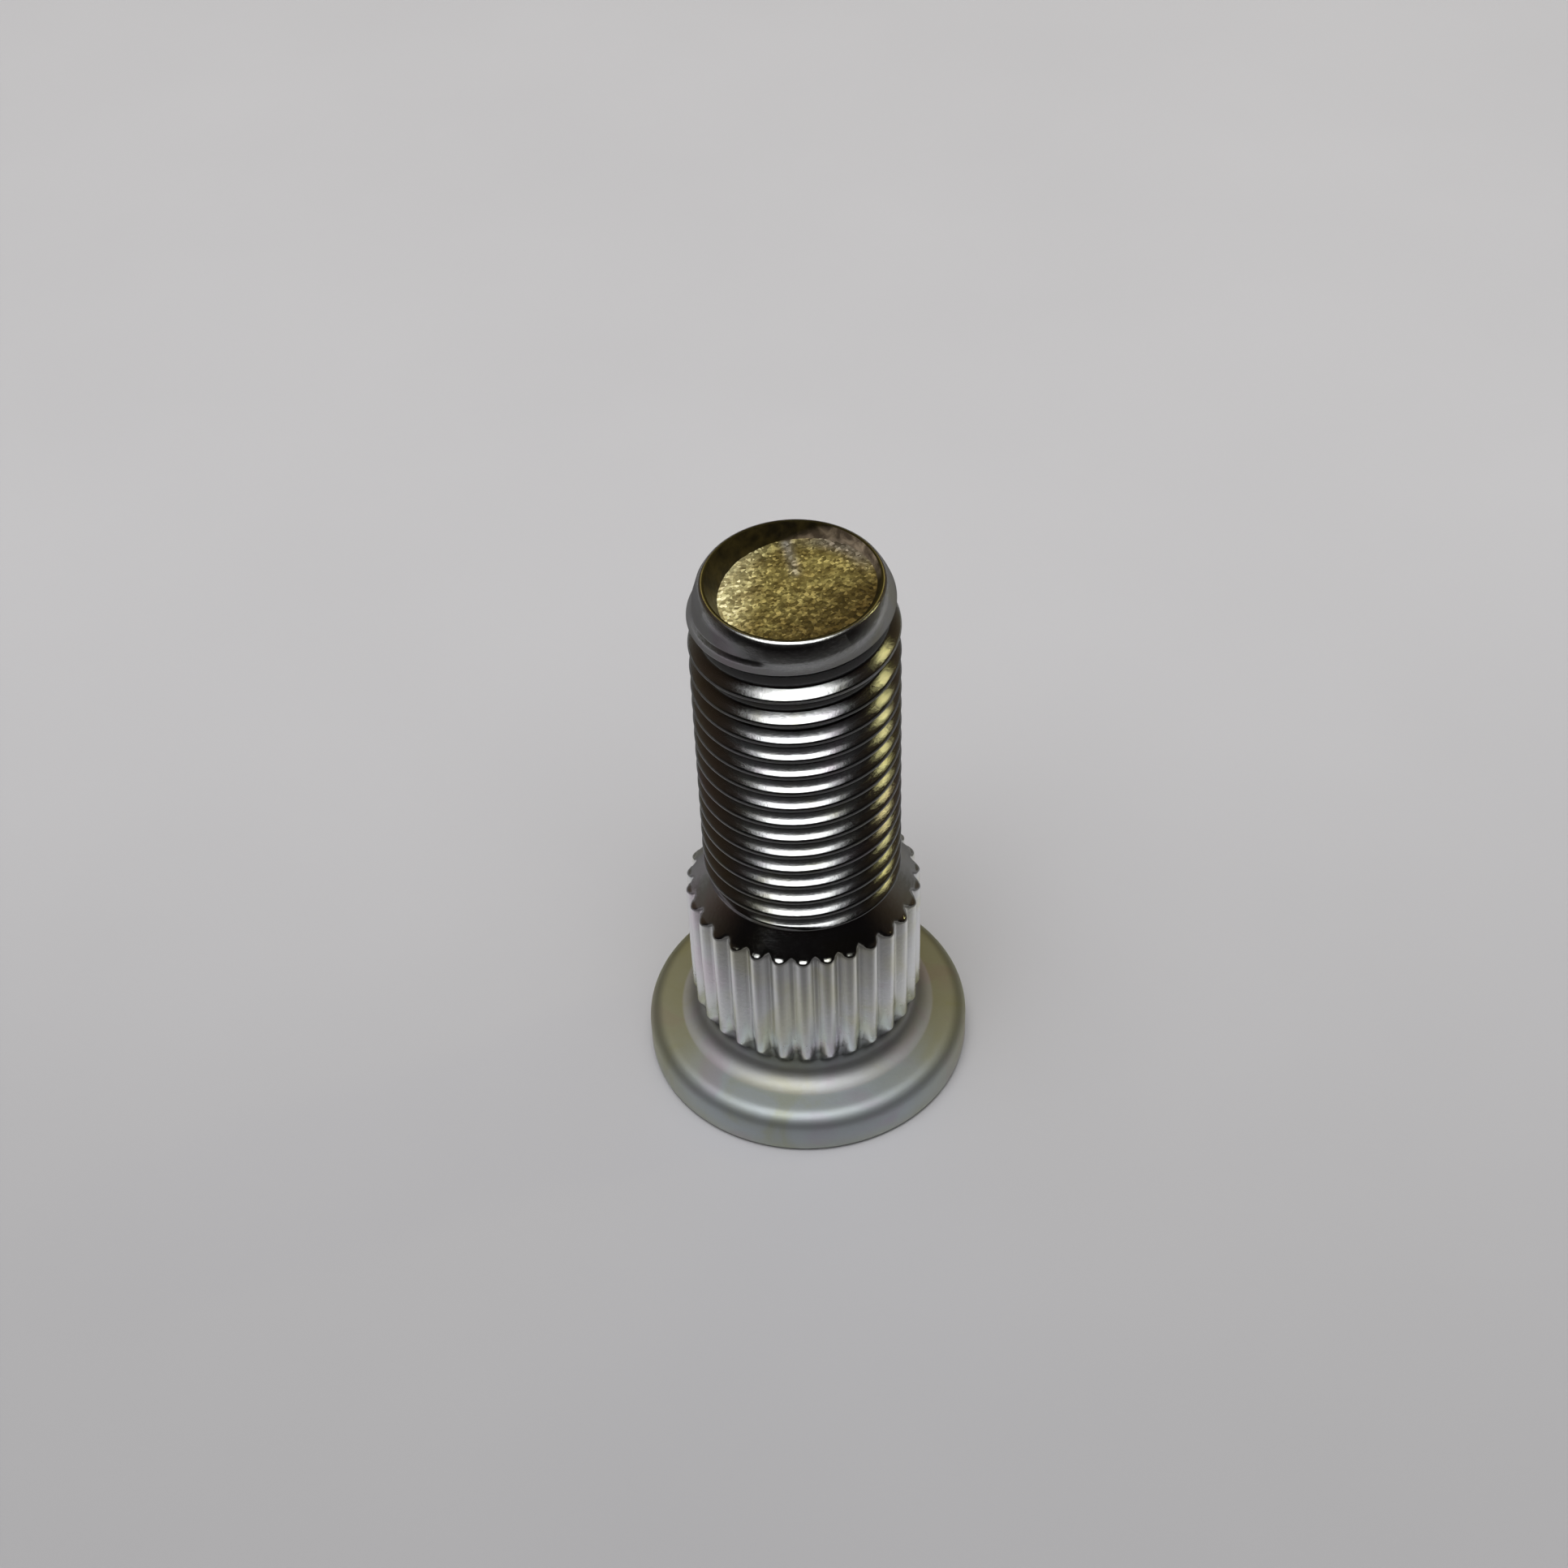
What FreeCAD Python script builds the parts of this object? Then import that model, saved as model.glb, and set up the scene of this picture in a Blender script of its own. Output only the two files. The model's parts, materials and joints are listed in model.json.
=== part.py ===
import FreeCAD, Part
import math
import os

# Wheel hub bolt: a cold-headed wheel stud in one piece, with a round head, a splined land
# that is pressed into the hub flange, and a shank for a fine M12 thread with a cupped end.
# Millimetres, +Z along the shank, the middle of the head's underside at the origin.

Vector = FreeCAD.Vector
ORIGIN = Vector(0, 0, 0)
AXIS = Vector(0, 0, 1)

# Overall
bolt_length = 37.0

# Head, a plain round disc
head_diameter = 20.0
head_thickness = 2.85
head_edge_round = 1.0
head_foot_chamfer = 0.4
underhead_round = 1.5

# Spline, measured over its ribs
spline_diameter = 14.2
spline_count = 30
spline_depth = 0.5
spline_groove_width = 0.75
spline_rib_drop = 0.16
spline_length = 9.25
spline_foot_run_out = 0.9
spline_root_clearance = 0.12

# Shoulder and neck between the spline and the thread
shoulder_slope = 45.0
neck_diameter = 11.1
neck_length = 0.2

# Shank at the major diameter of the thread, and its rounded lead
thread_diameter = 11.86
thread_step_slope = 45.0
lead_radius = 4.6

# Flat rim and sheared cup at the free end
rim_diameter = 10.3
cup_diameter = 9.4
cup_depth = 0.7
cup_floor_tilt = 6.9
cup_floor_rise_heading = -10.0

# Cutting tools reach this far past what they cut, and points nearer than this are one point
tool_overrun = 1.0
same_point = 1e-6

head_radius = head_diameter / 2.0
spline_radius = spline_diameter / 2.0
spline_root_radius = spline_radius - spline_depth
core_radius = spline_root_radius - spline_root_clearance
neck_radius = neck_diameter / 2.0
thread_radius = thread_diameter / 2.0
rim_radius = rim_diameter / 2.0
cup_radius = cup_diameter / 2.0
spline_foot = head_thickness + underhead_round
spline_top = spline_foot + spline_length
shoulder_top = spline_top + (spline_radius - neck_radius) / math.tan(math.radians(shoulder_slope))


def at(radius, height):
    """A point of the half section, which lies in the XZ plane."""
    return Vector(radius, 0, height)


def arc(centre, radius, start, end):
    """An arc of the half section about a centre, between two angles in degrees from +X."""
    def on_arc(angle):
        turn = math.radians(angle)
        return centre + at(radius * math.cos(turn), radius * math.sin(turn))
    return Part.Arc(on_arc(start), on_arc((start + end) / 2.0), on_arc(end)).toShape()


def start_of(edge):
    return edge.valueAt(edge.FirstParameter)


def end_of(edge):
    return edge.valueAt(edge.LastParameter)


def head_edge():
    """Round between the side of the head and its bearing face."""
    centre = at(head_radius - head_edge_round, head_thickness - head_edge_round)
    return arc(centre, head_edge_round, 0, 90)


def underhead_fillet():
    """Hollow round between the bearing face and the core below the spline."""
    centre = at(core_radius + underhead_round, head_thickness + underhead_round)
    return arc(centre, underhead_round, 270, 180)


def lead():
    """Lead that curves in from the shank to the rim of the free end."""
    drop = thread_radius - rim_radius
    reach = math.sqrt(2 * lead_radius * drop - drop**2)
    end_angle = math.degrees(math.asin(reach / lead_radius))
    centre = at(thread_radius - lead_radius, bolt_length - reach)
    return arc(centre, lead_radius, 0, end_angle)


def turned_blank():
    """The bolt before its spline grooves and cup, turned from one half section."""
    neck_top = shoulder_top + neck_length
    step = (thread_radius - neck_radius) / math.tan(math.radians(thread_step_slope))
    runs = [
        [at(head_radius - head_foot_chamfer, 0), at(head_radius, head_foot_chamfer)],
        [head_edge()],
        [underhead_fillet(), at(spline_radius, spline_foot + spline_foot_run_out)],
        [at(spline_radius, spline_top), at(neck_radius, shoulder_top)],
        [at(neck_radius, neck_top), at(thread_radius, neck_top + step)],
        [lead()],
        [at(0, bolt_length), at(0, 0)],
    ]
    edges = []
    here = at(0, 0)
    for item in sum(runs, []):
        is_corner = isinstance(item, Vector)
        start = item if is_corner else start_of(item)
        if not here.isEqual(start, same_point):
            edges.append(Part.makeLine(here, start))
        if not is_corner:
            edges.append(item)
        here = start if is_corner else end_of(item)
    half_section = Part.Face(Part.Wire(edges))
    return half_section.revolve(ORIGIN, AXIS, 360).Solids[0]


def spline_outline():
    """Closed outline of the spline: a rounded rib and a V groove, repeated."""
    pitch_angle = 2 * math.pi / spline_count
    groove_angle = spline_groove_width / spline_radius
    rib_half_angle = (pitch_angle - groove_angle) / 2
    rib_edge_radius = spline_radius - spline_rib_drop

    def polar(radius, angle):
        return Vector(radius * math.cos(angle), radius * math.sin(angle), 0)

    edges = []
    for rib in range(spline_count):
        middle = rib * pitch_angle
        rib_start = polar(rib_edge_radius, middle - rib_half_angle)
        rib_end = polar(rib_edge_radius, middle + rib_half_angle)
        groove_bottom = polar(spline_root_radius, middle + pitch_angle / 2)
        next_rib = polar(rib_edge_radius, middle + pitch_angle - rib_half_angle)
        edges.append(Part.Arc(rib_start, polar(spline_radius, middle), rib_end).toShape())
        edges.append(Part.makeLine(rib_end, groove_bottom))
        edges.append(Part.makeLine(groove_bottom, next_rib))
    return Part.Wire(edges)


def spline_grooves():
    """What is taken away between the ribs: a ring with the spline's outline as its bore."""
    height = shoulder_top - spline_foot
    ring = Part.makeCylinder(spline_radius + tool_overrun, height)
    ribs = Part.Face(spline_outline()).extrude(AXIS * height)
    grooves = ring.cut(ribs)
    grooves.translate(AXIS * spline_foot)
    return grooves


def cup():
    """Recess left by the sheared bar end: a round wall and a floor that lies aslant."""
    floor_height = bolt_length - cup_depth
    reach = cup_depth + cup_radius + tool_overrun
    plug = Part.makeCylinder(cup_radius, 2 * reach, AXIS * -reach)
    below = Part.makeCylinder(2 * reach, 2 * reach, AXIS * (-2 * reach))
    below.rotate(ORIGIN, Vector(0, 1, 0), -cup_floor_tilt)
    recess = plug.cut(below)
    recess.rotate(ORIGIN, AXIS, cup_floor_rise_heading)
    recess.translate(AXIS * floor_height)
    return recess


def hub_bolt():
    return turned_blank().cut(spline_grooves()).cut(cup()).removeSplitter().Solids[0]


os.makedirs("parts", exist_ok=True)
bolt = hub_bolt()
bolt.exportStep("parts/hub_bolt.step")
print("hub_bolt", bolt.isValid(), "volume %.1f mm3" % bolt.Volume, "height %.2f" % bolt.BoundBox.ZMax)
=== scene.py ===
import json
import math

import bpy
import numpy as np
from mathutils import Matrix, Vector, noise


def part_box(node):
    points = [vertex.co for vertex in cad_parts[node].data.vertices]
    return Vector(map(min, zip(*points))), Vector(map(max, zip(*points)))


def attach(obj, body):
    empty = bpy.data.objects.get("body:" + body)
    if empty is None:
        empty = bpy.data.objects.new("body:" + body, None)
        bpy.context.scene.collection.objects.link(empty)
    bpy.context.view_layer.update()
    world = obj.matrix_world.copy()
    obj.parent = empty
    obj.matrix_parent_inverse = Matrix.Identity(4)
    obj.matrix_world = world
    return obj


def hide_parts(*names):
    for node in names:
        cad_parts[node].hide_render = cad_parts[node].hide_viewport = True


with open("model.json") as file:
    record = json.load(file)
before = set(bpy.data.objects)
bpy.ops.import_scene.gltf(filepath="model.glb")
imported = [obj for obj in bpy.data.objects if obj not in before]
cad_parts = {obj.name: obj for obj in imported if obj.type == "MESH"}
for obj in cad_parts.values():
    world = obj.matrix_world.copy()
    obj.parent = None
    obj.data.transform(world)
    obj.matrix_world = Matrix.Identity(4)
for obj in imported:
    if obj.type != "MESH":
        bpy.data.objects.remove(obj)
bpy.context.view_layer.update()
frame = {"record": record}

# Lengths are millimetres and angles degrees unless a name says otherwise. The azimuth of a point
# is counted from the camera's side of the bolt (-Y), growing towards +X.
MM = 0.001
mounts = {m["name"]: m for m in frame["record"]["mounts"]}
_, box_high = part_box("hub_bolt")

# Overall
bolt_length = box_high.z / MM

# Head
head_radius = box_high.x / MM
head_thickness = mounts["flange_seat"]["pos_m"][2] / MM
head_edge_round = 1.0
head_foot_round = 0.4
underhead_round = 1.5

# Spline
spline_radius = mounts["hub_spline"]["dims"]["r_mm"]
spline_count = 30
spline_depth = 0.5
spline_rib_drop = 0.16
spline_groove_width = 0.75
spline_foot = head_thickness + underhead_round
spline_run_out = 0.9
spline_top = 13.6
rib_depth_spread = 0.12
rib_depth_seed = 4
rib_taper = 1.2
rib_taper_start = 0.2
rib_taper_length = 1.8
run_out_blend = 0.12
shoulder_blend = 0.1
rib_end_slope = 1.75
rib_end_rise = 0.12
core_radius = 6.48
first_rib_azimuth = -1.5

# Shoulder and neck
neck_radius = 5.55
shoulder_top = spline_top + spline_radius - neck_radius
neck_length = 0.1
neck_step_slope = 2.0

# Thread, right-handed
thread_radius = mounts["nut_thread"]["dims"]["r_mm"]
thread_pitch = 1.25
thread_depth = 0.6134 * thread_pitch
thread_flank_angle = 30.0
thread_crest_share = 0.16
thread_corner_share = 0.08
thread_crest_at_front = 15.31
thread_stretch_turn = 12.0
thread_stretch = 0.16
thread_end_turn = 15.49
thread_run_out = 0.4
thread_early_start = 0.1
thread_end_fade = 0.9
thread_end_hold = 0.1
thread_end_ramp = 0.05
thread_end_depth = 0.5
thread_lead_blend = 0.06
thread_neck_blend = 0.15
lead_radius = 4.6
thread_row_shares = (0.035, 0.08, 0.13, 0.25, 0.37, 0.44)

# Plating: how much darker or brighter it is in places, as painted shade in the grooves, on the crests, at
# the rib feet, on the rim's top and over the head, painted light on the land and painted reflections on the
# head; its colour; and how rough by height
recess_power = 1.2
# Painted shade in the thread's grooves and on its crests
thread_shade = 0.78
crest_shade = 0.62
crest_depth_share = 0.2
crest_shade_end = (33.2, 34.2)
# Painted shade between the ribs and at their feet, and painted light on the land
spline_shade = 0.22
land_painted_light = 1.22
land_painted_light_rise = 1.0
foot_shade = 0.6
foot_shade_start = (head_thickness + 0.8, spline_foot - 0.1)
foot_shade_end = (spline_foot + 0.5, spline_foot + 1.8)
foot_point_length = 1.2
underhead_shade_end = (head_thickness + 0.5, spline_foot + 0.4)
roughness_heights = (2.9, 4.6, 13.4, 13.9, 15.2, 15.6, 34.2, 35.2, 36.6, 36.85)
roughness_levels = (0.6, 0.26, 0.24, 0.08, 0.08, 0.14, 0.14, 0.09, 0.09, 0.2)
# Painted shade over the head, and painted reflections on it: cool towards the camera, olive away from it
head_shade = 0.22
head_cool_reflection = (0.94, 1.0, 1.02)
head_olive_reflection = (0.82, 0.81, 0.60)
head_olive_reflection_azimuths = (35.0, 80.0)
# Painted shade on the rim's top
rim_shade = 0.93
rim_shade_span = (0.09, 0.02)
plating_stops = [
    (0.34, (0.72, 0.72, 0.61)),
    (0.45, (0.74, 0.75, 0.73)),
    (0.56, (0.75, 0.765, 0.775)),
    (0.68, (0.75, 0.70, 0.75)),
]
plating_patch_scale = 260
plating_grain_scale = 3400
plating_speckle = 0.03
plating_bump = (0.5, 0.02)

# Rim and sheared cup
rim_radius = 4.9
rim_round = 0.32
rim_lead_angle = 40.0
rim_inner_angle = 104.0
rim_high_azimuth = 165.0
rim_rise = 0.3
rim_rise_start = 34.5
cup_radius = 4.6
cup_left_taper = 0.1
cup_depth = 0.7
cup_floor_tilt = 6.9
cup_floor_rise_azimuth = 80.0
cup_grain_size = 0.7
cup_grain_height = 0.03
cup_floor_rings = 32
cup_wall_rings = 9
cup_streak = ((-0.3, 4.4), (0.2, 1.5))
cup_streak_width = 0.3
olive_gold = (0.34, 0.29, 0.11)
pale_gold = (0.92, 0.86, 0.53)
brown_gold = (0.12, 0.09, 0.03)
grey_grain = (0.42, 0.405, 0.385)
edge_grain = (0.25, 0.225, 0.19)
wall_dark = (0.022, 0.017, 0.005)
wall_grey = (0.26, 0.22, 0.18)
pale_heading = (-1.0, 0.15)
pale_span = (1.4, 4.3)
brown_heading = (0.6, -0.8)
brown_span = (0.0, 3.8)
edge_grain_radii = (3.4, 4.3)
edge_grain_start = (95, 125)
edge_grain_end = (145, 188)
wall_grey_start = (85, 115)
wall_grey_turns = (110, 140, 190)
wall_grey_edges = (-0.3, -0.3, 1.3)
wall_grey_blend = 0.25
wall_grey_last = 200
# Facets differ in tone at random; the stops above white are painted glints
facet_scale = 5200
facet_tone_and_glint_stops = [
    (0.0, (0.40, 0.38, 0.32)),
    (0.55, (0.85, 0.83, 0.76)),
    (0.8, (1.3, 1.3, 1.25)),
    (1.0, (2.4, 2.4, 2.5)),
]
blotch_scale = 1100
blotch_stops = [(0.34, (0.72, 0.66, 0.56)), (0.66, (1.25, 1.25, 1.2))]
grain_scale = 4600
grain_bump = (1.0, 0.09)
mottle_scale = 1300
mottle_stops = [(0.38, (0.5, 0.45, 0.4)), (0.66, (2.2, 2.1, 1.9))]
wall_bump = (0.7, 0.08)

# Floor, painted darker towards the camera and a little lighter behind as painted shade and light, and a dark
# card on it that shows only in the metal, as painted shade in its reflections
floor_size_m = 3.0
floor_gap = 0.01
floor_colour = (0.58, 0.578, 0.602)
floor_cloud_scale = 30
floor_cloud = 0.015
# Painted shade on the floor towards the camera, and a little painted light behind the bolt
floor_front_painted_shade = 0.74
floor_back_painted_light = 1.03
floor_fade = 60.0
# Painted shade in the metal's reflections: a dark card seen only in reflections
flag_colour = (0.02, 0.016, 0.013)
flag_middle = 8.5
flag_reach = 120.0
flag_squeeze = 0.8
flag_cover = [(0.15, 0.0), (0.21, 0.74), (0.3, 0.82), (0.7, 0.74)]
flag_far = 400.0
flag_height = 0.02

# Room, by the height of a direction, with a soft light overhead. Spans are parts of a unit direction.
world_behind = [
    (0.0, (0.055, 0.052, 0.044)),
    (0.12, (0.095, 0.09, 0.08)),
    (0.3, (0.06, 0.047, 0.035)),
    (0.5, (0.035, 0.024, 0.016)),
    (0.9, (0.025, 0.018, 0.013)),
]
world_front = [
    (0.0, (0.08, 0.077, 0.075)),
    (0.25, (0.004, 0.0035, 0.0035)),
    (0.9, (0.004, 0.0035, 0.0035)),
]
world_turn = (-0.3, 0.3)
sky_light = 5.6
sky_light_middle = -0.08
sky_light_width = (0.06, 0.48)
sky_light_front = (-0.58, -0.36)
sky_light_back = (-0.05, 0.16)
sky_light_horizon = (0.0, 0.3)

# Lamps, in metres
warm_lamp = {
    "direction": (0.70, 0.25, 0.67), "distance": 0.5, "width": 0.032, "height": 0.07,
    "radiance": 6.0, "colour": (1.0, 0.92, 0.42),
}
gold_panel = {
    "direction": (0.0, 0.70, 0.71), "distance": 0.6, "width": 0.50, "height": 0.26,
    "radiance": 0.4, "colour": (1.0, 0.78, 0.2),
}
fill_panel = {
    "direction": (0.0, -0.15, 1.0), "distance": 0.8, "width": 1.0, "height": 1.0,
    "radiance": 1.2, "colour": (1.0, 1.0, 1.0),
}

# Camera, fitted to the photograph's frame
photo_width_px = 1932
camera_focal_px = 3147.5
camera_place = (0.0, -106.64, 125.36)
camera_pitch = 44.174
camera_yaw = -0.492
camera_roll = 2.422


def smooth_min(a, b, width):
    """The smaller of two values, with the corner where they cross rounded over a width."""
    h = np.clip(0.5 + 0.5 * (b - a) / width, 0, 1)
    return b * (1 - h) + a * h - width * h * (1 - h)


def smooth_step(low, high, value):
    t = np.clip((value - low) / (high - low), 0, 1)
    return t * t * (3 - 2 * t)


def column_azimuths():
    """Columns of the mesh, in radians: eight to a rib, at the places where its outline turns."""
    rib_edge = 0.5 - spline_groove_width / (2 * math.pi * spline_radius / spline_count) / 2
    flank = (rib_edge + 0.5) / 2
    shares = [-flank, -rib_edge, -rib_edge / 2, 0.0, rib_edge / 2, rib_edge, flank, 0.5]
    pitch = 2 * math.pi / spline_count
    start = math.radians(first_rib_azimuth)
    return np.array([start + (rib + share) * pitch for rib in range(spline_count) for share in shares])


def rib_radii(azimuths):
    """Radius of the spline's outline at each column, a little different from rib to rib."""
    pitch = 2 * math.pi / spline_count
    half_rib = pitch / 2 - spline_groove_width / spline_radius / 2
    turn = (azimuths - math.radians(first_rib_azimuth)) / pitch
    rib = np.round(turn - 1e-6)
    off = np.abs(turn - rib) * pitch
    random = np.random.default_rng(rib_depth_seed)
    spread = random.standard_normal(spline_count + 1)[rib.astype(int) % spline_count]
    deeper = 1 + rib_depth_spread * spread
    crown = spline_rib_drop * np.minimum(off / half_rib, 1) ** 2
    groove = np.clip((off - half_rib) / (pitch / 2 - half_rib), 0, 1)
    return spline_radius - crown - groove * (spline_depth - spline_rib_drop) * deeper


def thread_share(away):
    """Depth of the thread form, 0 on the crest and 1 at the root, by distance from a crest's middle."""
    flank = thread_depth * math.tan(math.radians(thread_flank_angle))
    ramp = (away - thread_crest_share * thread_pitch / 2) / flank
    corner = thread_corner_share * thread_pitch / flank
    rounded = -smooth_min(-ramp, np.zeros_like(ramp), corner)
    return smooth_min(rounded, np.ones_like(ramp), corner)


def lead_profile():
    """Heights where the lead begins and where it meets the rim's round."""
    angle = math.radians(rim_lead_angle)
    end_radius = rim_radius + rim_round * math.cos(angle)
    end_height = bolt_length - rim_round + rim_round * math.sin(angle)
    drop = thread_radius - end_radius
    return end_height - math.sqrt(2 * lead_radius * drop - drop**2), end_height


def lead_radius_at(heights):
    start, _ = lead_profile()
    past = np.clip(heights - start, 0, lead_radius)
    return thread_radius - lead_radius + np.sqrt(lead_radius**2 - past**2)


def turn_height(turns):
    """Height at the front of a place on the thread, counted in turns. The last turns are stretched."""
    past = np.clip(turns - thread_stretch_turn, 0, None)
    return thread_crest_at_front + thread_pitch * turns + thread_stretch * past**2


def turn_at(heights):
    """The turns that lie below each height, the inverse of turn_height."""
    regular = (heights - thread_crest_at_front) / thread_pitch
    past = np.clip(heights - turn_height(thread_stretch_turn), 0, None)
    stretched = (np.sqrt(thread_pitch**2 + 4 * thread_stretch * past) - thread_pitch) / (2 * thread_stretch)
    return np.minimum(regular, thread_stretch_turn) + stretched


def thread_surface(azimuth, heights):
    """Radius of the threaded shank at one column, and how deep it lies in the groove, from 0 to 1."""
    turn_share = math.remainder(azimuth, 2 * math.pi) / (2 * math.pi)
    u = turn_at(heights) - turn_share
    thread_start = shoulder_top + neck_length
    groove_turn = np.floor(u) + 0.5 + turn_share
    fade = smooth_step(thread_start - thread_early_start, thread_start + thread_run_out, heights)
    last = smooth_step(thread_end_turn - thread_end_fade, thread_end_turn - thread_end_hold, groove_turn)
    fade = fade * (1 - (1 - thread_end_depth) * last)
    fade = fade * (1 - smooth_step(thread_end_turn - thread_end_ramp, thread_end_turn, groove_turn))
    crest_below = heights - turn_height(groove_turn - 0.5)
    crest_above = turn_height(groove_turn + 0.5) - heights
    depth = thread_share(np.minimum(crest_below, crest_above)) * fade
    neck = neck_radius + neck_step_slope * np.clip(heights - thread_start, 0, None)
    form = smooth_min(thread_radius - thread_depth * depth, lead_radius_at(heights), thread_lead_blend)
    return smooth_min(form, neck, thread_neck_blend), depth


def spline_recess(ribs, height):
    """How deep each column lies between the ribs at one height, from 0 to 1."""
    depth = np.clip((spline_radius - spline_rib_drop - ribs) / (spline_depth - spline_rib_drop), 0, 1)
    return depth if spline_foot < height < spline_top + 0.3 else 0 * depth


def land_light_and_shade(ribs, height):
    """Painted light and shade on the land: the land painted brighter, its ribs ending in points in a ring of
    painted shade above the head.
    """
    off_crest = np.clip((spline_radius - ribs) / spline_depth, 0, 1)
    on_land = smooth_step(spline_foot, spline_foot + land_painted_light_rise, height) * (height < spline_top)
    painted_light = 1 + (land_painted_light - 1) * on_land
    foot = smooth_step(*foot_shade_start, height) * (1 - smooth_step(*foot_shade_end, height))
    low = 1 - max(height - spline_foot, 0) / foot_point_length
    return painted_light * (1 - foot_shade * foot * np.clip(off_crest + low, 0, 1))


def shank_radii(ribs, height):
    """Radius under the head, over the land and down its shoulder at one height, for all columns."""
    below_round = np.clip(head_thickness + underhead_round - height, 0, underhead_round)
    under_head = core_radius + underhead_round - math.sqrt(underhead_round**2 - below_round**2)
    run_out = core_radius + (spline_radius - core_radius) * max(height - spline_foot, 0) / spline_run_out
    above_foot = height - spline_foot
    taper = rib_taper * (1 - smooth_step(rib_taper_start, rib_taper_length, above_foot))
    ribs = np.maximum(spline_radius - (spline_radius - ribs) * (1 + taper), core_radius)
    rib_end = spline_radius - rib_end_slope * (height - spline_top - rib_end_rise)
    shoulder = max(spline_radius - (height - spline_top), rib_end)
    land = smooth_min(smooth_min(ribs, run_out, run_out_blend), shoulder, shoulder_blend)
    return np.maximum(np.maximum(land, neck_radius), under_head if height < spline_foot + 1 else 0.0)


def arc_points(centre_radius, centre_height, radius, start, end, count):
    turns = np.radians(np.linspace(start, end, count))
    return [(centre_radius + radius * math.cos(t), centre_height + radius * math.sin(t)) for t in turns]


def head_section():
    """The head from the middle of its underside out and up to the inner edge of its bearing face."""
    points = [(r, 0.0) for r in np.linspace(0.5, head_radius - head_foot_round, 12)[:-1]]
    points += arc_points(head_radius - head_foot_round, head_foot_round, head_foot_round, -90, 0, 6)
    edge_radius, edge_height = head_radius - head_edge_round, head_thickness - head_edge_round
    points += [(head_radius, z) for z in np.linspace(head_foot_round, edge_height, 6)[1:-1]]
    points += arc_points(edge_radius, edge_height, head_edge_round, 0, 90, 12)
    face_radii = np.linspace(edge_radius, core_radius + underhead_round, 6)[1:]
    return points + [(r, head_thickness) for r in face_radii]


def shank_heights():
    """Heights of the rows from the bearing face to the shoulder's top, closest where the form turns."""
    runs = [
        head_thickness + underhead_round * (1 - np.cos(np.radians(np.linspace(0, 70, 15)[1:]))),
        np.linspace(spline_foot, spline_foot + spline_run_out + 0.2, 12),
        np.linspace(spline_foot + spline_run_out + 0.2, spline_top - 0.3, 8)[1:],
        np.linspace(spline_top - 0.3, spline_top + 0.8, 18)[1:],
        np.linspace(spline_top + 0.8, shoulder_top, 8)[1:],
    ]
    return np.concatenate(runs)


def thread_heights(azimuth):
    """Heights of one column's rows in the thread, at the same places of every crest, and in the grooves."""
    half = np.array(thread_row_shares) * thread_pitch
    offsets = np.concatenate([-half[::-1], [0.0], half])
    turns = np.arange(-20, 20) + azimuth / (2 * math.pi)
    crests = turn_height(turns)[:, None] + offsets[None, :]
    heights = np.sort(np.concatenate([crests.ravel(), turn_height(turns + 0.5)]))
    _, lead_end = lead_profile()
    return heights[(heights > shoulder_top + 0.03) & (heights < lead_end - 0.03)]


def raised(azimuth, heights):
    """Heights near the free end, which isn't quite square and stands higher on one side."""
    side = (1 + np.cos(azimuth - math.radians(rim_high_azimuth))) / 2
    return heights + rim_rise * side * smooth_step(rim_rise_start, bolt_length, heights)


def cup_floor_height(radius, azimuth):
    """Height of the sheared floor: a slanting plane with coarse grain on it."""
    uphill = radius * math.cos(azimuth - math.radians(cup_floor_rise_azimuth))
    plane = bolt_length - cup_depth + math.tan(math.radians(cup_floor_tilt)) * uphill
    place = Vector((radius * math.sin(azimuth), -radius * math.cos(azimuth), 0.0)) / cup_grain_size
    grain = noise.noise(place) + 0.6 * noise.noise(2.3 * place + Vector((7.1, 3.3, 1.9)))
    return plane + cup_grain_height * grain


def mixed(first, second, share):
    return tuple(a + (b - a) * share for a, b in zip(first, second))


def head_painted_reflection(azimuth, height):
    """Painted reflection on the head: olive away from the camera's side and cool towards it, an even mix on
    the underside, all darkened by head_shade as painted shade.
    """
    turn = abs(math.degrees(math.remainder(azimuth, 2 * math.pi)))
    share = smooth_step(*head_olive_reflection_azimuths, turn)
    share = 0.5 + (share - 0.5) * smooth_step(0.0, head_thickness / 2, height)
    return tuple(c * (1 - head_shade) for c in mixed(head_cool_reflection, head_olive_reflection, share))


def shaded(recess, shade):
    """Painted shade: brightness of the plating darkened by a share from 0 to 1, such as how deep it lies in
    a recess.
    """
    return 1 - shade * np.clip(recess, 0, 1) ** recess_power


def greys(levels):
    return [(float(level),) * 3 for level in levels]


def floor_tint(radius, azimuth):
    """Colour of the sheared floor: pale at the left, brown at the front right, with grey parts."""
    place = Vector((radius * math.sin(azimuth), -radius * math.cos(azimuth)))
    colour = mixed(olive_gold, pale_gold, smooth_step(*pale_span, place.dot(Vector(pale_heading))))
    colour = mixed(colour, brown_gold, smooth_step(*brown_span, place.dot(Vector(brown_heading))))
    start, end = Vector(cup_streak[0]), Vector(cup_streak[1])
    run = end - start
    share = min(max((place - start).dot(run) / run.length_squared, 0.0), 1.0)
    off = (place - start - share * run).length
    streak = math.exp(-(off / cup_streak_width) ** 2) * (1 - 0.5 * share)
    edge = smooth_step(*edge_grain_radii, radius) * grey_edge_side(azimuth)
    return mixed(mixed(colour, edge_grain, edge), grey_grain, streak)


def grey_edge_side(azimuth):
    """1 at the back right of the cup, where the floor's edge is grey, and 0 elsewhere."""
    turn = math.degrees(azimuth) % 360
    return smooth_step(*edge_grain_start, turn) * (1 - smooth_step(*edge_grain_end, turn))


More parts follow.
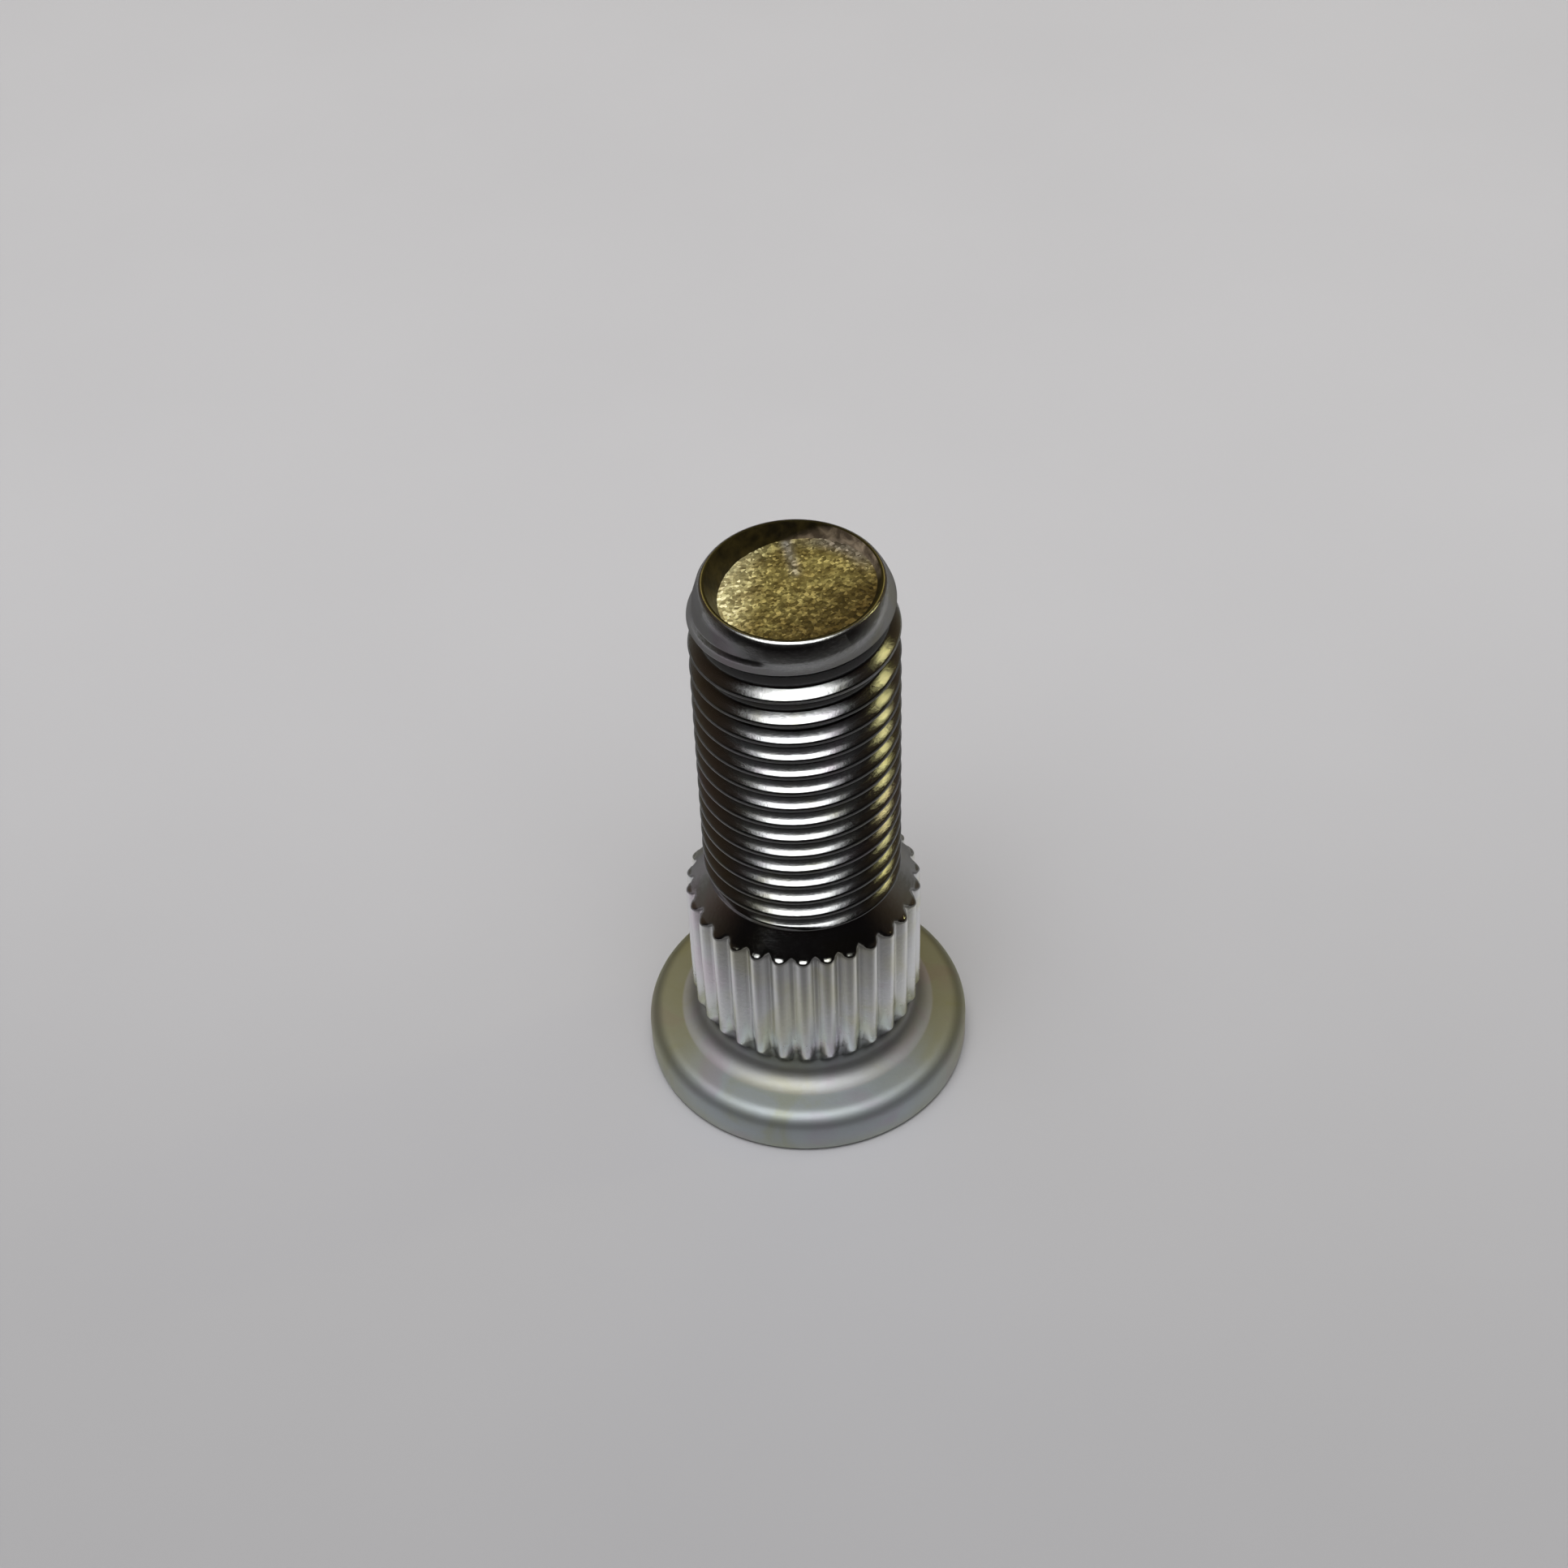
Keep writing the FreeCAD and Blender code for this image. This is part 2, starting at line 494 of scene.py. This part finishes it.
def wall_tint(azimuth, share):
    """Colour of the cup's wall at a share of its depth. The grey part climbs from the floor at the right."""
    turn = math.degrees(azimuth) % 360
    edge = np.interp(turn, wall_grey_turns, wall_grey_edges)
    below_edge = smooth_step(edge - wall_grey_blend, edge + wall_grey_blend, share)
    grey_share = smooth_step(*wall_grey_start, turn) * below_edge * (turn < wall_grey_last)
    return mixed(wall_dark, wall_grey, grey_share)


class Skin:
    """Points and faces of a mesh that is put together column by column round the axis."""

    def __init__(self, azimuths):
        self.azimuths = azimuths
        self.points = []
        self.tints = []
        self.faces = []
        self.kinds = []

    def point(self, azimuth, radius, height, tint=(1.0, 1.0, 1.0)):
        self.points.append((radius * math.sin(azimuth) * MM, -radius * math.cos(azimuth) * MM, height * MM))
        self.tints.append((*tint, 1.0))
        return len(self.points) - 1

    def ring(self, radii, heights, tints=None):
        tints = tints or [(1.0, 1.0, 1.0)] * len(self.azimuths)
        return [self.point(*place) for place in zip(self.azimuths, radii, heights, tints)]

    def face(self, corners, kind):
        self.faces.append(corners)
        self.kinds.append(kind)

    def band(self, lower, upper, kind=0):
        count = len(lower)
        for i in range(count):
            n = (i + 1) % count
            self.face((lower[i], lower[n], upper[n], upper[i]), kind)

    def cap(self, ring, height, upward, kind=0):
        middle = self.point(0.0, 0.0, height, self.tints[ring[0]][:3])
        count = len(ring)
        for i in range(count):
            n = (i + 1) % count
            self.face((ring[i], ring[n], middle) if upward else (ring[n], ring[i], middle), kind)

    def zip_columns(self, columns, heights):
        """Triangles between neighbouring columns whose rows don't stand at the same heights."""
        count = len(columns)
        for i in range(count):
            n = (i + 1) % count
            left, right = columns[i], columns[n]
            left_z, right_z = heights[i], heights[n]
            a = b = 0
            while a < len(left) - 1 or b < len(right) - 1:
                left_next = left_z[a + 1] if a < len(left) - 1 else math.inf
                right_next = right_z[b + 1] if b < len(right) - 1 else math.inf
                if left_next <= right_next:
                    self.face((left[a], right[b], left[a + 1]), 0)
                    a += 1
                else:
                    self.face((left[a], right[b], right[b + 1]), 0)
                    b += 1


def build_bolt():
    azimuths = column_azimuths()
    count = len(azimuths)
    ribs = rib_radii(azimuths)
    skin = Skin(azimuths)
    rings = []
    for r, z in head_section():
        tints = [head_painted_reflection(a, z) for a in azimuths]
        rings.append(skin.ring([r] * count, [z] * count, tints))
    for z in shank_heights():
        # Painted shade between the ribs and under the head, times the painted light on the land and the
        # painted shade at the rib feet
        underhead_share = 1 - smooth_step(*underhead_shade_end, z)
        shades = 1 - spline_shade * np.maximum(spline_recess(ribs, z), underhead_share)
        tints = greys(shades * land_light_and_shade(ribs, z))
        rings.append(skin.ring(shank_radii(ribs, z), [z] * count, tints))
    skin.cap(rings[0], 0.0, upward=False)
    for lower, upper in zip(rings, rings[1:]):
        skin.band(lower, upper)

    _, lead_end_height = lead_profile()
    rim_rings = []
    rim_angles = (rim_lead_angle, rim_inner_angle)
    rim_section = arc_points(rim_radius, bolt_length - rim_round, rim_round, *rim_angles, 8)
    for r, z in rim_section:
        # Painted shade on the rim's top
        tints = greys([shaded(smooth_step(*rim_shade_span, r - rim_radius), rim_shade)] * count)
        rim_rings.append(skin.ring([r] * count, raised(azimuths, np.full(count, z)), tints))
    columns, heights = [], []
    for i, azimuth in enumerate(azimuths):
        z = thread_heights(azimuth)
        radii, depths = thread_surface(azimuth, z)
        # Painted shade: darker deep in the grooves and on the crests below the lead
        on_crest = (1 - smooth_step(0.0, crest_depth_share, depths)) * (1 - smooth_step(*crest_shade_end, z))
        tints = greys(shaded(depths, thread_shade) * (1 - crest_shade * on_crest))
        places = zip(radii, raised(azimuth, z), tints)
        inner = [skin.point(azimuth, *place) for place in places]
        columns.append([rings[-1][i]] + inner + [rim_rings[0][i]])
        heights.append(np.concatenate([[shoulder_top], z, [lead_end_height]]))
    skin.zip_columns(columns, heights)
    for lower, upper in zip(rim_rings, rim_rings[1:]):
        skin.band(lower, upper)

    edge_radius, edge_height = rim_section[-1]
    wall_top = raised(azimuths, np.full(count, edge_height))
    floor_radii = cup_radius * (1 - cup_left_taper * np.clip(-np.sin(azimuths), 0, 1) ** 2)
    floor_edge = np.array([cup_floor_height(r, a) for r, a in zip(floor_radii, azimuths)])
    below = None
    for share in np.linspace(0, 1, cup_wall_rings):
        radii = edge_radius + (floor_radii - edge_radius) * share
        tints = [wall_tint(a, share) for a in azimuths]
        ring = skin.ring(radii, wall_top + (floor_edge - wall_top) * share, tints)
        if below:
            skin.band(below, ring, 2)
        below = ring
    below = None
    for share in np.linspace(1, 0, cup_floor_rings)[:-1]:
        places = [(r * share, a) for r, a in zip(floor_radii, azimuths)]
        heights = [cup_floor_height(*place) for place in places]
        ring = skin.ring(floor_radii * share, heights, [floor_tint(*place) for place in places])
        if below:
            skin.band(below, ring, 1)
        below = ring
    skin.cap(below, cup_floor_height(0.0, 0.0), upward=True, kind=1)

    mesh = bpy.data.meshes.new("bolt_body")
    mesh.from_pydata(skin.points, [], skin.faces)
    mesh.polygons.foreach_set("material_index", skin.kinds)
    mesh.polygons.foreach_set("use_smooth", [True] * len(skin.faces))
    tint = mesh.attributes.new("tint", "FLOAT_COLOR", "POINT")
    tint.data.foreach_set("color", np.array(skin.tints).ravel())
    rough = mesh.attributes.new("rough", "FLOAT", "POINT")
    heights = np.array(skin.points)[:, 2] / MM
    rough.data.foreach_set("value", np.interp(heights, roughness_heights, roughness_levels))
    mesh.update()
    body = bpy.data.objects.new("bolt_body", mesh)
    bpy.context.scene.collection.objects.link(body)
    mesh.materials.append(plating())
    mesh.materials.append(sheared_grain())
    mesh.materials.append(cup_wall())
    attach(body, "root")
    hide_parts("hub_bolt")
    return body


def new_material(name):
    material = bpy.data.materials.new(name)
    material.use_nodes = True
    nodes = material.node_tree.nodes
    return material, nodes, material.node_tree.links, nodes["Principled BSDF"]


def noise_node(nodes, links, place, scale, detail=3.0, roughness=0.5, distortion=0.0):
    node = nodes.new("ShaderNodeTexNoise")
    node.inputs["Scale"].default_value = scale
    node.inputs["Detail"].default_value = detail
    node.inputs["Roughness"].default_value = roughness
    node.inputs["Distortion"].default_value = distortion
    links.new(place, node.inputs["Vector"])
    return node


def ramp_node(nodes, links, value, stops):
    node = nodes.new("ShaderNodeValToRGB")
    ramp = node.color_ramp
    while len(ramp.elements) < len(stops):
        ramp.elements.new(0.5)
    for element, (position, colour) in zip(ramp.elements, stops):
        element.position = position
        element.color = (*colour, 1.0)
    links.new(value, node.inputs["Fac"])
    return node


def fall_node(nodes, links, value, span, levels, kind="SMOOTHSTEP"):
    """A level that changes from the first to the second as the value crosses a span."""
    node = nodes.new("ShaderNodeMapRange")
    node.interpolation_type = kind
    node.inputs["From Min"].default_value, node.inputs["From Max"].default_value = span
    node.inputs["To Min"].default_value, node.inputs["To Max"].default_value = levels
    links.new(value, node.inputs["Value"])
    return node.outputs["Result"]


def math_node(nodes, links, operation, first, second=None):
    node = nodes.new("ShaderNodeMath")
    node.operation = operation
    links.new(first, node.inputs[0])
    if second is not None:
        links.new(second, node.inputs[1])
    return node.outputs["Value"]


def bump_node(nodes, links, value, bump):
    strength, depth = bump
    node = nodes.new("ShaderNodeBump")
    node.inputs["Strength"].default_value = strength
    node.inputs["Distance"].default_value = depth * MM
    links.new(value, node.inputs["Height"])
    return node


def multiplied(nodes, links, first, second):
    mix = nodes.new("ShaderNodeMix")
    mix.data_type = "RGBA"
    mix.blend_type = "MULTIPLY"
    mix.inputs["Factor"].default_value = 1.0
    links.new(first, mix.inputs["A"])
    links.new(second, mix.inputs["B"])
    return mix.outputs["Result"]


def tinted(nodes, links, colour):
    """A colour multiplied by the tint that the mesh carries, which holds painted shade, painted light and
    painted reflection besides colour.
    """
    tint = nodes.new("ShaderNodeAttribute")
    tint.attribute_name = "tint"
    return multiplied(nodes, links, colour, tint.outputs["Color"])


def plating():
    """Zinc plate with a thin passivation that shimmers from grey to olive and violet."""
    material, nodes, links, shader = new_material("zinc_plating")
    place = nodes.new("ShaderNodeTexCoord").outputs["Object"]
    patches = noise_node(nodes, links, place, plating_patch_scale, detail=4, distortion=0.6)
    colour = ramp_node(nodes, links, patches.outputs["Fac"], plating_stops)
    links.new(tinted(nodes, links, colour.outputs["Color"]), shader.inputs["Base Color"])
    grain = noise_node(nodes, links, place, plating_grain_scale, detail=6, roughness=0.75)
    level = nodes.new("ShaderNodeAttribute")
    level.attribute_name = "rough"
    speckle_range = (-plating_speckle, plating_speckle)
    speckle = fall_node(nodes, links, grain.outputs["Fac"], (0.3, 0.7), speckle_range, "LINEAR")
    rough = math_node(nodes, links, "ADD", level.outputs["Fac"], speckle)
    links.new(rough, shader.inputs["Roughness"])
    bump = bump_node(nodes, links, grain.outputs["Fac"], plating_bump)
    links.new(bump.outputs["Normal"], shader.inputs["Normal"])
    shader.inputs["Metallic"].default_value = 1.0
    return material


def sheared_grain():
    """Golden torn grain on the floor of the cup: its facets differ in tone at random, the brightest carry
    painted glints above white, and they sparkle where the bump makes them catch the light.
    """
    material, nodes, links, shader = new_material("sheared_grain")
    place = nodes.new("ShaderNodeTexCoord").outputs["Object"]
    facets = nodes.new("ShaderNodeTexVoronoi")
    facets.inputs["Scale"].default_value = facet_scale
    links.new(place, facets.inputs["Vector"])
    lot = nodes.new("ShaderNodeSeparateColor")
    links.new(facets.outputs["Color"], lot.inputs["Color"])
    colour = ramp_node(nodes, links, lot.outputs["Red"], facet_tone_and_glint_stops)
    cloud = noise_node(nodes, links, place, blotch_scale, detail=2)
    blotch = ramp_node(nodes, links, cloud.outputs["Fac"], blotch_stops)
    mottled = multiplied(nodes, links, colour.outputs["Color"], blotch.outputs["Color"])
    links.new(tinted(nodes, links, mottled), shader.inputs["Base Color"])
    grain = noise_node(nodes, links, place, grain_scale, detail=3, roughness=0.6)
    bump = bump_node(nodes, links, grain.outputs["Fac"], grain_bump)
    links.new(bump.outputs["Normal"], shader.inputs["Normal"])
    shader.inputs["Roughness"].default_value = 0.34
    shader.inputs["Metallic"].default_value = 0.5
    return material


def cup_wall():
    """Dark wall of the cup, mottled, with a greyer stretch at the back right."""
    material, nodes, links, shader = new_material("cup_wall")
    place = nodes.new("ShaderNodeTexCoord").outputs["Object"]
    mottle = noise_node(nodes, links, place, mottle_scale, detail=4, distortion=0.4)
    colour = ramp_node(nodes, links, mottle.outputs["Fac"], mottle_stops)
    links.new(tinted(nodes, links, colour.outputs["Color"]), shader.inputs["Base Color"])
    bump = bump_node(nodes, links, mottle.outputs["Fac"], wall_bump)
    links.new(bump.outputs["Normal"], shader.inputs["Normal"])
    shader.inputs["Metallic"].default_value = 0.4
    shader.inputs["Roughness"].default_value = 0.5
    return material


def build_floor():
    mesh = bpy.data.meshes.new("floor")
    half = floor_size_m / 2
    corners = [(-half, -half), (half, -half), (half, half), (-half, half)]
    mesh.from_pydata([(x, y, -floor_gap * MM) for x, y in corners], [], [(0, 1, 2, 3)])
    floor = bpy.data.objects.new("floor", mesh)
    bpy.context.scene.collection.objects.link(floor)
    material, nodes, links, shader = new_material("pale_floor")
    place = nodes.new("ShaderNodeTexCoord").outputs["Object"]
    cloud = noise_node(nodes, links, place, floor_cloud_scale)
    low, high = [tuple(c * share for c in floor_colour) for share in (1 - floor_cloud, 1 + floor_cloud)]
    colour = ramp_node(nodes, links, cloud.outputs["Fac"], [(0.3, low), (0.7, high)])
    split = nodes.new("ShaderNodeSeparateXYZ")
    links.new(place, split.inputs["Vector"])
    # Painted shade towards the camera and a little painted light behind the bolt
    shares = (floor_front_painted_shade, floor_back_painted_light)
    fall = fall_node(nodes, links, split.outputs["Y"], (-floor_fade * MM, floor_fade * MM), shares)
    scaled = nodes.new("ShaderNodeVectorMath")
    scaled.operation = "SCALE"
    links.new(colour.outputs["Color"], scaled.inputs[0])
    links.new(fall, scaled.inputs["Scale"])
    links.new(scaled.outputs["Vector"], shader.inputs["Base Color"])
    shader.inputs["Roughness"].default_value = 0.9
    shader.inputs["Specular IOR Level"].default_value = 0.1
    mesh.materials.append(material)


def build_flag():
    """A dark card with a soft opening round the bolt, which only shows in the metal: painted shade on the
    floor that the metal reflects.
    """
    mesh = bpy.data.meshes.new("flag")
    far = flag_far * MM
    corners = [(-far, -far), (far, -far), (far, far), (-far, far)]
    mesh.from_pydata([(x, y, flag_height * MM) for x, y in corners], [], [(0, 1, 2, 3)])
    flag = bpy.data.objects.new("flag", mesh)
    bpy.context.scene.collection.objects.link(flag)
    material, nodes, links, shader = new_material("painted_shade_card")
    away = nodes.new("ShaderNodeVectorMath")
    away.operation = "DISTANCE"
    away.inputs[1].default_value = (0.0, flag_middle * MM, flag_height * MM)
    squeeze = nodes.new("ShaderNodeVectorMath")
    squeeze.operation = "MULTIPLY"
    squeeze.inputs[1].default_value = (flag_squeeze, 1.0, 1.0)
    links.new(nodes.new("ShaderNodeTexCoord").outputs["Object"], squeeze.inputs[0])
    links.new(squeeze.outputs["Vector"], away.inputs[0])
    share = fall_node(nodes, links, away.outputs["Value"], (0.0, flag_reach * MM), (0.0, 1.0), "LINEAR")
    cover = ramp_node(nodes, links, share, [(place, (level,) * 3) for place, level in flag_cover])
    links.new(cover.outputs["Color"], shader.inputs["Alpha"])
    shader.inputs["Base Color"].default_value = (*flag_colour, 1.0)
    shader.inputs["Roughness"].default_value = 0.9
    shader.inputs["Specular IOR Level"].default_value = 0.0
    mesh.materials.append(material)
    flag.visible_camera = False
    flag.visible_diffuse = False
    flag.visible_shadow = False


def area_light(name, direction, distance, width, height, radiance, colour):
    """A soft lamp that faces the bolt from a direction, with a given radiance over its face."""
    light = bpy.data.lights.new(name, "AREA")
    light.shape = "RECTANGLE"
    light.size = width
    light.size_y = height
    light.energy = radiance * math.pi * width * height
    light.color = colour
    lamp = bpy.data.objects.new(name, light)
    away = Vector(direction).normalized()
    lamp.location = Vector((0, 0, bolt_length / 2 * MM)) + away * distance
    lamp.rotation_euler = away.to_track_quat("Z", "Y").to_euler()
    bpy.context.scene.collection.objects.link(lamp)
    return lamp


def build_world():
    """A dim room, brown behind the bolt and dark on the camera's side, with a soft light overhead."""
    world = bpy.data.worlds.new("room")
    bpy.context.scene.world = world
    world.use_nodes = True
    nodes, links = world.node_tree.nodes, world.node_tree.links
    direction = nodes.new("ShaderNodeTexCoord").outputs["Generated"]
    split = nodes.new("ShaderNodeSeparateXYZ")
    links.new(direction, split.inputs["Vector"])
    behind = ramp_node(nodes, links, split.outputs["Z"], world_behind)
    front = ramp_node(nodes, links, split.outputs["Z"], world_front)
    side = fall_node(nodes, links, split.outputs["Y"], world_turn, (0.0, 1.0), "LINEAR")
    mix = nodes.new("ShaderNodeMix")
    mix.data_type = "RGBA"
    links.new(side, mix.inputs["Factor"])
    links.new(front.outputs["Color"], mix.inputs["A"])
    links.new(behind.outputs["Color"], mix.inputs["B"])
    across = nodes.new("ShaderNodeMath")
    across.operation = "SUBTRACT"
    across.inputs[1].default_value = sky_light_middle
    links.new(split.outputs["X"], across.inputs[0])
    aside = math_node(nodes, links, "ABSOLUTE", across.outputs["Value"])
    glow = fall_node(nodes, links, aside, sky_light_width, (sky_light, 0.0))
    edges = [("Y", sky_light_front, (0.0, 1.0)), ("Y", sky_light_back, (1.0, 0.0)),
             ("Z", sky_light_horizon, (0.0, 1.0))]
    for axis, span, levels in edges:
        edge = fall_node(nodes, links, split.outputs[axis], span, levels)
        glow = math_node(nodes, links, "MULTIPLY", glow, edge)
    total = nodes.new("ShaderNodeVectorMath")
    links.new(mix.outputs["Result"], total.inputs[0])
    links.new(glow, total.inputs[1])
    background = nodes["Background"]
    links.new(total.outputs["Vector"], background.inputs["Color"])
    background.inputs["Strength"].default_value = 1.0


def build_camera():
    pitch, yaw, roll = (math.radians(a) for a in (camera_pitch, camera_yaw, camera_roll))
    ahead = Vector((math.sin(yaw) * math.cos(pitch), math.cos(yaw) * math.cos(pitch), -math.sin(pitch)))
    level = Vector((math.cos(yaw), -math.sin(yaw), 0.0))
    down = ahead.cross(level)
    right = math.cos(roll) * level + math.sin(roll) * down
    up = math.sin(roll) * level - math.cos(roll) * down
    data = bpy.data.cameras.new("camera")
    data.sensor_width = 36.0
    data.lens = camera_focal_px / photo_width_px * data.sensor_width
    data.clip_start = 0.005
    camera = bpy.data.objects.new("camera", data)
    turn = Matrix((right, up, -ahead)).transposed().to_4x4()
    camera.matrix_world = Matrix.Translation(Vector(camera_place) * MM) @ turn
    bpy.context.scene.collection.objects.link(camera)
    bpy.context.scene.camera = camera


bpy.context.scene.view_settings.view_transform = "Standard"
build_bolt()
build_floor()
build_flag()
build_world()
area_light("warm_lamp", **warm_lamp)
area_light("gold_panel", **gold_panel)
fill = area_light("fill", **fill_panel)
fill.visible_glossy = False
build_camera()
